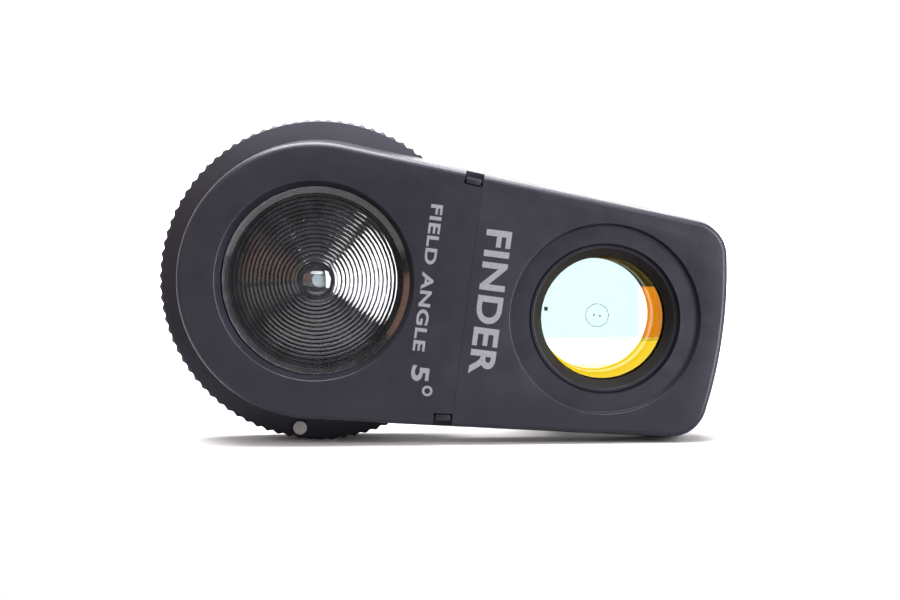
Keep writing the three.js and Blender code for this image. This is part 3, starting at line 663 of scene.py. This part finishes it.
def screws(finish, name, count, body, sizes):
    """One screw with a domed head and a cross recess, copied to each of its seats."""
    shank, head, head_t, dome = sizes
    y0, y1 = depths(f"{name}_1")
    tip = shank * 0.6
    profile = [
        (0, y0), (tip, y0), (shank, y0 + tip), (shank, y1 - head_t), (head, y1 - head_t),
        (head, y1 - dome, 0.1), (head * 0.55, y1 - dome * 0.2), (0, y1),
    ]
    screw = turned(name, profile, SMALL)
    slot, arm, deep = head * 0.2, head * 0.62, y1 - head_t * 0.6
    cut(
        screw,
        block("arm", -slot, slot, deep, y1 + 1, -arm, arm),
        block("arm", -arm, arm, deep, y1 + 1, -slot, slot),
    )
    for i in range(1, count + 1):
        at = seat(f"{name}_{i}")
        twin = copy_of(screw, f"head_{name}_{i}", (at.x, 0, at.z))
        place(twin, body, "steel", finish, f"{name}_{i}")
    bpy.data.objects.remove(screw, do_unlink=True)


# ---------- finder ----------
def finder_bezel(finish, inner):
    """A thin rim round the window, with a matt cone and tube inside it."""
    y0, y1 = depths("finder_bezel")
    r = DISH_FLOOR_R - 0.05
    flange = radius("finder_bezel")
    step = DISH_DEPTH + DISH_WALL + GAP
    window = radius("mirror_window") + GAP
    bezel = turned("bezel_finder", [
        (r - BEZEL_LIP, y0, 0.12), (r, y0, 0.1), (r, step), (flange, step, 0.2),
        (flange, y1, 0.2), (window, y1, 0.1), (window, step),
        (BEZEL_BORE, step, 0.08), (BEZEL_BORE, step - GAP, 0.08),
    ], FINE, FINDER_X)
    place(bezel, "body", "moulded_body", finish, "finder_bezel")
    second_finish(bezel, inner, lambda normal: abs(normal.y) < STEEP)


def lens_piece(name, node, slot, finish, front_sag, back_sag, edge):
    """A turned lens: each face bulges by its own sag, and its rim is chamfered."""
    lo, hi = depths(node)
    y0 = lo - min(front_sag, 0)
    y1 = hi - max(back_sag, 0)
    r = radius(node)
    shares = [i / 14 for i in range(15)]
    face = [(r * s * 0.985, y0 + front_sag * (1 - s * s)) for s in shares]
    back = [(r * s * 0.985, y1 + back_sag * (1 - s * s)) for s in reversed(shares)]
    obj = turned(name, [*face, (r, y0 + edge), (r, y1 - edge), *back], ROUND, FINDER_X)
    return place(obj, "body", slot, finish, node)


def half_mirror_window(coated, bare):
    """Only the front of the window has the coat; its back and rim are bare glass."""
    sags = (MIRROR_SAG, MIRROR_SAG)
    window = lens_piece("glass_half_mirror", "mirror_window", "half_mirror_glass", coated, *sags, 0.1)
    second_finish(window, bare, lambda normal: normal.y >= -STEEP)


def reticle(glass, ink):
    """The reticle disc with its dashed spot circle, two dots and a battery mark printed on it."""
    y0, y1 = depths("reticle_disc")
    r = radius("reticle_disc")
    disc = turned("glass_reticle", [(0, y0), (r, y0, 0.1), (r, y1, 0.1), (0, y1)], ROUND, FINDER_X)
    place(disc, "body", "clear_glass", glass, "reticle_disc")
    ink_front, ink_back = y0 - 0.03, y0 - 0.01
    marks = []
    for i in range(DASHES):
        start = math.tau * i / DASHES
        end = start + math.tau / DASHES * DASH_SHARE
        strip = [*arc(0, 0, SPOT_R, start, end, 6), *arc(0, 0, SPOT_R - SPOT_LINE, end, start, 6)]
        marks.append(plate("dash", [strip], ink_front, ink_back, 0.0))
    for dot_x in DOTS_X:
        profile = [(0, ink_front), (DOT_R, ink_front), (DOT_R, ink_back), (0, ink_back)]
        marks.append(turned("spot", profile, 16, dot_x))
    low, high = MARK_X - MARK_HALF, MARK_X + MARK_HALF
    marks.append(block("mark", low, high, ink_front, ink_back, -MARK_HALF, MARK_HALF))
    activate(marks[0])
    for mark in marks:
        mark.select_set(True)
    bpy.ops.object.join()
    printed = marks[0]
    printed.name = "reticle_print"
    printed.data.transform(Matrix.Translation((FINDER_X, 0, 0)))
    return place(printed, "body", "inner_black", ink)


def eyepiece_housing(finish):
    y0, y1 = depths("eyepiece_housing")
    r = radius("eyepiece_housing")
    shoulder = BARREL_END + GAP
    lens_stop = BARREL_END + 1.6
    housing = turned("housing_eyepiece", [
        (EYE_BORE, y0, 0.15), (EYE_SPIGOT, y0, 0.2), (EYE_SPIGOT, shoulder), (r, shoulder, 0.3),
        (r, y1, 0.3), (EYE_SEAT, y1, 0.2), (EYE_SEAT, lens_stop), (EYE_BORE, lens_stop, 0.1),
    ], ROUND, FINDER_X)
    return place(housing, "body", "moulded_body", finish, "eyepiece_housing")


def eyepiece_ring(finish):
    y0, y1 = depths("eyepiece_ring")
    r = radius("eyepiece_ring")
    ring = turned("ring_eyepiece", [
        (r - 0.7, y0, 0.1), (r, y0, 0.1), (r, y1, 0.2), (r - 0.45, y1, 0.15),
    ], ROUND, FINDER_X)
    return place(ring, "body", "inner_black", finish, "eyepiece_ring")


def eyecup(finish):
    """A soft cup with three shallow grooves round it and a rolled lip."""
    y0, y1 = depths("eyecup")
    r = radius("eyecup")
    lip = y1 - CUP_LIP_T
    foot = r - CUP_GROOVE_DEEP
    outside = [(r, y0, 0.3)]
    for i in range(CUP_GROOVES):
        at = y0 + 1.1 + CUP_GROOVE_STEP * i
        outside += [(r, at, 0.12), (foot, at + 0.2, 0.12), (foot, at + 0.45, 0.12), (r, at + 0.65, 0.12)]
    cup = turned("cup_eye", [
        (r - CUP_WALL, y0, 0.2), *outside, (r, y1, 0.6),
        (r - CUP_LIP_W, y1, 0.6), (r - CUP_LIP_W, lip, 0.3), (r - CUP_WALL, lip, 0.2),
    ], ROUND, FINDER_X)
    return place(cup, "body", "rubber", finish, "eyecup")


# ---------- print ----------
def lettering(name, words, x, cap, long, z, ink):
    """Words that read down across the face, with their tops towards the finder."""
    bpy.ops.object.select_all(action="DESELECT")
    bpy.ops.object.text_add()
    text = bpy.context.object
    text.name = name
    text.data.body = words
    text.data.extrude = 0.5
    text.data.offset = LETTER_WEIGHT
    text.data.space_character = LETTER_SPACING
    bpy.ops.object.convert(target="MESH")
    corners = [Vector(corner) for corner in text.bound_box]
    low = Vector((min(c.x for c in corners), min(c.y for c in corners), 0))
    size = Vector((max(c.x for c in corners), max(c.y for c in corners), 0)) - low
    scale = Matrix.Diagonal((long / size.x, cap / size.y, PRINT_T, 1))
    turn = Matrix(((0, 1, 0, x - cap / 2), (0, 0, -1, PRINT_T / 6), (-1, 0, 0, z), (0, 0, 0, 1)))
    text.data.transform(turn @ scale @ Matrix.Translation(-low))
    in_edit_mode(text, clean)
    return place(text, "body", "dot_paint", ink)


def face_print(ink):
    lettering("print_word", "FINDER", WORD_X, WORD_CAP, WORD_LONG, WORD_Z, ink)
    lettering("print_line", "FIELD ANGLE", LINE_X, LINE_CAP, LINE_LONG, LINE_Z, ink)
    lettering("print_angle", "5", ANGLE_X, ANGLE_CAP, ANGLE_LONG, ANGLE_Z, ink)
    y0, y1 = -PRINT_T / 3, PRINT_T * 2 / 3
    inner = DEGREE_R * 0.55
    ring = turned("print_degree", [(inner, y0), (DEGREE_R, y0), (DEGREE_R, y1), (inner, y1)], SMALL,
                  DEGREE_X, DEGREE_Z)
    place(ring, "body", "dot_paint", ink)


# ---------- materials ----------
def linear(code):
    """An sRGB hex colour as linear RGBA."""
    parts = [int(code[i:i + 2], 16) / 255 for i in (1, 3, 5)]
    return (*[p / 12.92 if p <= 0.04045 else ((p + 0.055) / 1.055) ** 2.4 for p in parts], 1)


def per(size):
    """Texture scale for a pattern of a size in millimetres."""
    return 1 / (size * MM)


def add(tree, kind, settings=None, inputs=None):
    """Adds a node, sets its own settings, and fills or links its sockets."""
    made = tree.nodes.new("ShaderNode" + kind)
    for key, value in (settings or {}).items():
        setattr(made, key, value)
    for key, value in (inputs or {}).items():
        if isinstance(value, bpy.types.NodeSocket):
            tree.links.new(value, made.inputs[key])
        else:
            made.inputs[key].default_value = value
    return made


def new_material(name):
    material = bpy.data.materials.new(name)
    material.use_nodes = True
    material.node_tree.nodes.clear()
    return material, material.node_tree


def grain(tree, size, detail=2.0, stretch=(1, 1, 1)):
    """Noise of a size in millimetres on the piece's own coordinates."""
    place_at = add(tree, "TexCoord")
    mapping = add(tree, "Mapping", {}, {"Vector": place_at.outputs["Object"], "Scale": stretch})
    inputs = {"Vector": mapping.outputs["Vector"], "Scale": per(size), "Detail": detail}
    return add(tree, "TexNoise", {}, inputs).outputs["Fac"]


def blend(tree, factor, low, high, start=0.35, end=0.65):
    """Two colours or greys mixed by a pattern."""
    ramp = add(tree, "ValToRGB", {}, {"Fac": factor})
    for stop, position, colour in zip(ramp.color_ramp.elements, (start, end), (low, high)):
        stop.position = position
        stop.color = colour
    return ramp.outputs["Color"]


def grey(value):
    return value, value, value, 1


# Sizes of the patterns, in millimetres.
FLOW_CLOUD = 9.0             # cloudy shade where moulded plastic cooled unevenly
RUBBED = 4.0                 # patches that hands have rubbed
RUBBER_BLOOM = 2.5           # dusty bloom on rubber
RUBBER_PORE = 0.3
METAL_CLOUD = 3.0
DUST = 0.8                   # drawn several times coarser than real dust, which would not show
MILK = 3.0
OPAL_CLOUD = 2.0
INK_THIN = 0.35              # thin places that the screen's mesh leaves, drawn coarse to show
INK_GRAIN = 0.25
PAPER_CLOUD = 60.0
FELT_TUFT = 20.0
WOOD_STREAK = 12.0


def moulded(name, colour, worn, roughness, texture, height, shine=0.22):
    """Moulded plastic: a fine matt texture, cloudy shade, and a varied gloss where hands rub it.

    The texture's size and height are in millimetres.  A real spark texture is about
    0.05 to 0.1 mm; it is drawn at three times that, because a finer one would not show.
    """
    material, tree = new_material(name)
    cloud = grain(tree, FLOW_CLOUD, 3.0)
    fine = grain(tree, texture, 2.0)
    tint = blend(tree, cloud, linear(colour), linear(worn), 0.4, 0.75)
    gloss = blend(tree, grain(tree, RUBBED, 4.0), grey(roughness - 0.03), grey(roughness + 0.03))
    bump = add(tree, "Bump", {}, {"Height": fine, "Distance": height * MM, "Strength": 0.6})
    shader = add(tree, "BsdfPrincipled", {}, {
        "Base Color": tint, "Roughness": gloss, "Normal": bump.outputs["Normal"], "IOR": 1.5,
        "Specular IOR Level": shine, "Specular Tint": linear("#eeeeff"),
    })
    add(tree, "OutputMaterial", {}, {"Surface": shader.outputs["BSDF"]})
    return material


def rubber(name):
    """Moulded synthetic rubber: very matt, with a soft sheen and a dusty bloom."""
    material, tree = new_material(name)
    patches = grain(tree, RUBBER_BLOOM, 5.0)
    bloom = blend(tree, patches, linear("#0e0e0f"), linear("#1a1a1b"), 0.4, 0.8)
    pores = grain(tree, RUBBER_PORE)
    bump = add(tree, "Bump", {}, {"Height": pores, "Distance": 0.02 * MM, "Strength": 0.5})
    shader = add(tree, "BsdfPrincipled", {}, {
        "Base Color": bloom, "Roughness": 0.8, "Normal": bump.outputs["Normal"], "IOR": 1.52,
        "Sheen Weight": 0.25, "Sheen Roughness": 0.5,
    })
    add(tree, "OutputMaterial", {}, {"Surface": shader.outputs["BSDF"]})
    return material


def metal(name, colour, stained, roughness, streak):
    """Machined metal: fine lines from the cutter and a slightly cloudy tone."""
    material, tree = new_material(name)
    tint = blend(tree, grain(tree, METAL_CLOUD, 3.0), linear(colour), linear(stained))
    lines = grain(tree, streak, 1.0, (1, 0.05, 1))
    gloss = blend(tree, lines, grey(roughness - 0.06), grey(roughness + 0.1))
    bump = add(tree, "Bump", {}, {"Height": lines, "Distance": 0.004 * MM, "Strength": 0.5})
    shader = add(tree, "BsdfPrincipled", {}, {
        "Base Color": tint, "Metallic": 1.0, "Roughness": gloss, "Normal": bump.outputs["Normal"],
    })
    add(tree, "OutputMaterial", {}, {"Surface": shader.outputs["BSDF"]})
    return material


def clear(name, ior, body, haze, bloom):
    """Clear optical plastic or glass: see-through, with a Fresnel gloss, a milky bloom and faint dust."""
    material, tree = new_material(name)
    dust = blend(tree, grain(tree, DUST, 4.0), grey(haze), grey(haze * 3), 0.5, 0.8)
    through = add(tree, "BsdfTransparent", {}, {"Color": linear(body)})
    gloss = add(tree, "BsdfGlossy", {}, {"Color": grey(1.0), "Roughness": dust})
    fresnel = add(tree, "Fresnel", {}, {"IOR": ior})
    polished = add(tree, "MixShader", {}, {
        0: fresnel.outputs[0], 1: through.outputs[0], 2: gloss.outputs[0],
    })
    milk = add(tree, "BsdfDiffuse", {}, {"Color": linear("#dcdce4")})
    share = blend(tree, grain(tree, MILK, 3.0), grey(bloom * 0.7), grey(bloom * 1.3))
    mix = add(tree, "MixShader", {}, {0: share, 1: polished.outputs[0], 2: milk.outputs[0]})
    add(tree, "OutputMaterial", {}, {"Surface": mix.outputs[0]})
    return material


def half_mirror(name):
    """Glass with a dichroic coat: it sends yellow back and lets a pale blue-green through."""
    material, tree = new_material(name)
    dust = blend(tree, grain(tree, DUST, 4.0), grey(0.01), grey(0.03), 0.5, 0.8)
    through = add(tree, "BsdfTransparent", {}, {"Color": linear("#e2f7fe")})
    gloss = add(tree, "BsdfGlossy", {}, {"Color": linear("#ffd82a"), "Roughness": dust})
    edge = add(tree, "LayerWeight", {}, {"Blend": 0.35})
    share = blend(tree, edge.outputs["Fresnel"], grey(0.62), grey(0.72), 0.0, 1.0)
    mix = add(tree, "MixShader", {}, {0: share, 1: through.outputs[0], 2: gloss.outputs[0]})
    add(tree, "OutputMaterial", {}, {"Surface": mix.outputs[0]})
    return material


def opal(name):
    """Opal acrylic: milky white that glows softly through its thickness."""
    material, tree = new_material(name)
    tint = blend(tree, grain(tree, OPAL_CLOUD, 3.0), linear("#e6e6e0"), linear("#f2f2ee"))
    shader = add(tree, "BsdfPrincipled", {}, {"Base Color": tint, "Roughness": 0.35, "IOR": 1.49})
    add(tree, "OutputMaterial", {}, {"Surface": shader.outputs["BSDF"]})
    return material


def ink(name, colour, thin):
    """Screen-printed ink: a slightly uneven coat with soft grain."""
    material, tree = new_material(name)
    tint = blend(tree, grain(tree, INK_THIN, 3.0), linear(thin), linear(colour), 0.3, 0.55)
    coat = grain(tree, INK_GRAIN)
    bump = add(tree, "Bump", {}, {"Height": coat, "Distance": 0.006 * MM, "Strength": 0.5})
    shader = add(tree, "BsdfPrincipled", {}, {
        "Base Color": tint, "Roughness": 0.55, "Normal": bump.outputs["Normal"], "IOR": 1.5,
    })
    add(tree, "OutputMaterial", {}, {"Surface": shader.outputs["BSDF"]})
    return material


def floor_finish(name):
    """Seamless background paper: plain matt white, with next to no gloss even at low angles."""
    material, tree = new_material(name)
    tint = blend(tree, grain(tree, PAPER_CLOUD, 2.0), linear("#9b989b"), linear("#a09da0"))
    shader = add(tree, "BsdfPrincipled", {}, {
        "Base Color": tint, "Roughness": 0.9, "IOR": 1.45, "Specular IOR Level": 0.05,
    })
    add(tree, "OutputMaterial", {}, {"Surface": shader.outputs["BSDF"]})
    return material


def flag_finish(name):
    """Black felt: it takes light away and gives next to none back."""
    material, tree = new_material(name)
    tint = blend(tree, grain(tree, FELT_TUFT, 3.0), linear("#141212"), linear("#1c1918"))
    shader = add(tree, "BsdfPrincipled", {}, {"Base Color": tint, "Roughness": 0.9})
    add(tree, "OutputMaterial", {}, {"Surface": shader.outputs["BSDF"]})
    return material


def wood_finish(name, dark, light):
    """Oiled wood: warm brown with long streaks of grain."""
    material, tree = new_material(name)
    tint = blend(tree, grain(tree, WOOD_STREAK, 4.0, (1, 1, 0.08)), linear(dark), linear(light))
    shader = add(tree, "BsdfPrincipled", {}, {"Base Color": tint, "Roughness": 0.5})
    add(tree, "OutputMaterial", {}, {"Surface": shader.outputs["BSDF"]})
    return material


# ABS moulded in a spark-eroded tool: a soft, slightly violet black with a broad dull gloss.
abs_black = moulded("abs_spark_textured", "#111116", "#141419", 0.38, 0.3, 0.02)
# The same plastic with a smoother grain, worn by fingers: a little duller, with faint patches.
grip_black = moulded("abs_grip_satin", "#121217", "#16161c", 0.42, 0.35, 0.015)
# Matt black paint inside the light paths: it stays dark even when seen along the wall.
inner_black = moulded("matt_black_light_trap", "#0c0c0d", "#111112", 0.75, 0.4, 0.02, 0.1)
# Moulded rubber: no gloss, only a greyish sheen towards its edges.
soft_rubber = rubber("synthetic_rubber")
# Pressed polycarbonate: clear, with a crisp gloss on each ring and a trace of milk.
ring_lens = clear("polycarbonate_moulded_grooves", 1.585, "#d8dee2", 0.06, 0.014)
# The walls between its rings have a dark see-through colour and a dull gloss: painted shade, for the dark
# lines between the rings.
painted_shade_ring_walls = clear("acrylic_groove_walls_painted_shade", 1.1, "#303036", 0.3, 0.004)
# Polished crown glass: clear, with one clean pale reflection.
glass = clear("optical_glass_crown", 1.52, "#fbffff", 0.01, 0.002)
# Bloomed glass: its thin coat takes nearly all of the reflection away, as a low IOR does.
coated_glass = clear("optical_glass_bloomed", 1.2, "#fbffff", 0.01, 0.002)
# Half mirror: yellow in reflection, and pale blue-green to look through.
mirror_glass = half_mirror("glass_dichroic_half_mirror")
# Cast opal acrylic: an even milky white with a soft gloss.
opal_acrylic = opal("opal_acrylic")
# Turned aluminium, clear anodised: silvery grey, with fine rings from the cutter.
anodised = metal("aluminium_turned_clear_anodised", "#b4b6b9", "#a4a6a9", 0.32, 0.2)
# Steel under a black plating: dark grey with a satin gleam on its edges.
plated_steel = metal("steel_black_plated", "#4c4d50", "#3e3f42", 0.34, 0.25)
# Screen-printed ink: an even light grey, a little thin in places.
print_ink = ink("screen_print_ink_grey", "#4c4b52", "#434249")
# Paint filled into the index mark: a flat warm grey.
dot_ink = ink("index_paint_grey", "#767573", "#6a6967")
# Fine black ink on the reticle: it shows only as a dark line against the light.
reticle_ink = ink("reticle_ink_black", "#101014", "#1a1a20")

# ---------- the object ----------
front_cover(abs_black)
rear_cover(abs_black)
condenser_lens(ring_lens, painted_shade_ring_walls)
lock_ring(grip_black)
index_dot(dot_ink)
bayonet_ring(anodised)
ring_retainer(anodised)
screws(plated_steel, "cover_screw", 4, "body", COVER_SCREW)
screws(plated_steel, "retainer_screw", 3, "body", RING_SCREW)
screws(plated_steel, "bayonet_screw", 3, "twist_ring", RING_SCREW)
finder_bezel(abs_black, inner_black)
half_mirror_window(mirror_glass, coated_glass)
reticle(glass, reticle_ink)
eyepiece_housing(abs_black)
lens_piece("glass_eyepiece", "eyepiece_lens", "clear_glass", glass, -EYE_SAG, EYE_SAG, 0.15)
eyepiece_ring(inner_black)
eyecup(soft_rubber)
face_print(print_ink)

PLAIN_NODES = {
    inner_black: [
        "lens_retainer", "light_funnel", "field_stop", "light_divider", "finder_tube", "reticle_spacer",
    ],
    opal_acrylic: ["cell_window"],
    plated_steel: ["detent_ball", "detent_spring", "stop_pin"],
}
for finish, names in PLAIN_NODES.items():
    for node_name in names:
        frame["nodes"][node_name].data.materials[0] = finish


# ---------- studio ----------
FLOOR_FRONT = 0.02           # metres of floor in front of the face
FLOOR_BACK = 0.17
FLOOR_SIDE = 0.3
FOCAL = 60.3                 # millimetres, on a 36 mm wide frame
CAMERA_X = 0.0015            # metres, as are the next two
CAMERA_AWAY = 0.242
CAMERA_Z = 0.0316
CAMERA_PITCH = 1.9           # degrees down
CAMERA_ROLL = -0.72


def studio_floor():
    """A level sheet of white paper, wide enough for the object's shadow."""
    bpy.ops.object.select_all(action="DESELECT")
    bpy.ops.mesh.primitive_grid_add(x_subdivisions=2, y_subdivisions=2, size=1)
    floor = bpy.context.object
    floor.name = "studio_floor"
    deep = FLOOR_BACK + FLOOR_FRONT
    middle_y = front - FLOOR_FRONT + deep / 2
    floor.data.transform(
        Matrix.Translation((0, middle_y, 0)) @ Matrix.Diagonal((2 * FLOOR_SIDE, deep, 1, 1))
    )
    floor.data.materials.append(floor_finish("background_paper_white"))


def board(name, lo, hi, finish):
    """A board in front of the object that shows only as a reflection."""
    bpy.ops.object.select_all(action="DESELECT")
    bpy.ops.mesh.primitive_cube_add(size=1)
    panel = bpy.context.object
    panel.name = name
    lo, hi = Vector(lo), Vector(hi)
    panel.data.transform(Matrix.Translation((lo + hi) / 2) @ Matrix.Diagonal((*(hi - lo), 1)))
    panel.data.materials.append(finish)
    panel.visible_camera = False


def softbox(name, at, target, width, height, radiance, in_view=False):
    """An even rectangular light that faces a target."""
    data = bpy.data.lights.new(name, "AREA")
    data.shape = "RECTANGLE"
    data.size = width
    data.size_y = height
    data.energy = radiance * width * height * math.pi
    lamp = bpy.data.objects.new(name, data)
    lamp.location = at
    lamp.rotation_euler = (Vector(target) - Vector(at)).to_track_quat("-Z", "Y").to_euler()
    lamp.visible_camera = in_view
    bpy.context.scene.collection.objects.link(lamp)


def white_surround(strength):
    """The white of the studio all around, as bright as the paper's white."""
    world = bpy.data.worlds.new("white_surround")
    bpy.context.scene.world = world
    world.use_nodes = True
    background = world.node_tree.nodes["Background"]
    background.inputs["Color"].default_value = linear("#ffffff")
    background.inputs["Strength"].default_value = strength


def studio_camera():
    """Level with the top of the object, a little right of its middle, and turned slightly down."""
    data = bpy.data.cameras.new("camera")
    data.lens = FOCAL
    data.sensor_width = 36.0
    data.clip_start = 0.01
    camera = bpy.data.objects.new("camera", data)
    camera.matrix_world = (
        Matrix.Translation((CAMERA_X, front - CAMERA_AWAY, CAMERA_Z))
        @ Matrix.Rotation(math.radians(90 - CAMERA_PITCH), 4, "X")
        @ Matrix.Rotation(math.radians(CAMERA_ROLL), 4, "Z")
    )
    bpy.context.scene.collection.objects.link(camera)
    bpy.context.scene.camera = camera


studio_floor()

# Boards, each from its lowest to its highest corner, in metres.
felt = flag_finish("black_felt")
beech = wood_finish("oiled_beech", "#e0a080", "#ecb494")
oak = wood_finish("oiled_oak", "#8a5a34", "#9c6a40")
# keeps the front of the room dark in both windows, down to the line seen in the finder
board("flag_behind_camera", (-0.9, -0.62, -0.052), (0.9, -0.6, 0.95), felt)
# keeps the lower rings of the condenser dark
board("flag_low", (-0.9, -0.62, -0.95), (0.9, -0.6, -0.3), felt)
# brown patch on the left of the condenser
board("board_left", (-0.85, -0.59, 0.0), (-0.26, -0.57, 0.4), beech)
# orange patch on the right of the finder
board("board_right", (0.165, -0.59, -0.051), (0.22, -0.57, 0.06), oak)

# Softboxes: where, what it faces, width, height (metres), radiance.
CENTRE = (0.0, 0.0, 0.02)
LENSES = (-0.02, 0.0, 0.03)
# the main light, which gives the shadow under the object
softbox("softbox_overhead", (-0.04, 0.0, 0.46), CENTRE, 0.54, 0.36, 26.0)
# gloss on the sloping front of the lock ring
softbox("softbox_upper", (-0.03, -0.46, 0.32), LENSES, 0.46, 0.10, 13.0)
# bright fan on the condenser's rings
softbox("softbox_right", (0.39, -0.4, 0.06), LENSES, 0.2, 0.7, 29.0)
# white background, also seen through the finder
softbox("lit_background", (0.0, 1.0, 0.2), CENTRE, 1.6, 0.9, 2.8, True)
# yellow crescent at the foot of the finder
softbox("softbox_low", (0.05, -0.58, -0.17), (0.05, -0.01, -0.17), 0.9, 0.22, 0.5)
white_surround(1.0)
studio_camera()
bpy.context.scene.view_settings.view_transform = "Standard"
